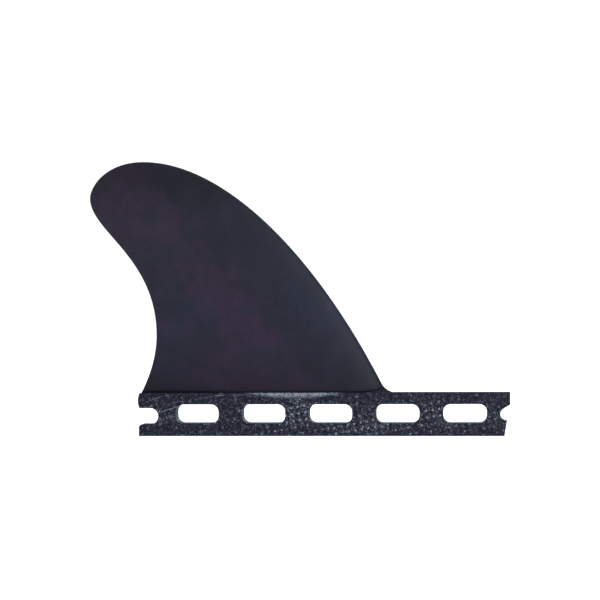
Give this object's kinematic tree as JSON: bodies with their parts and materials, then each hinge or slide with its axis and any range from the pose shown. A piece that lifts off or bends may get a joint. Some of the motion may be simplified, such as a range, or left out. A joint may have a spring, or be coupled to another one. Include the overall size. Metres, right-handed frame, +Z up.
{
  "type": "surfboard fin",
  "caption": "Moulded surfboard fin: a raked, foiled blade with a rounded tip on a long slotted base tab with a rear pin hook and a front screw seat.",
  "frame": {"origin": "middle of the base tab's flat bottom, midway between its two faces and its two ends", "axes": "+X along the tab to the blade's leading edge, +Z up to the tip, -Y out of the face that the picture shows"},
  "size_m": [0.1292, 0.008, 0.0845],
  "materials": {
    "fin_plastic": "black glass-filled plastic, satin on the blade and grained on the tab"
  },
  "bodies": {
    "root": {"fin": "fin_plastic"}
  },
  "joints": []
}
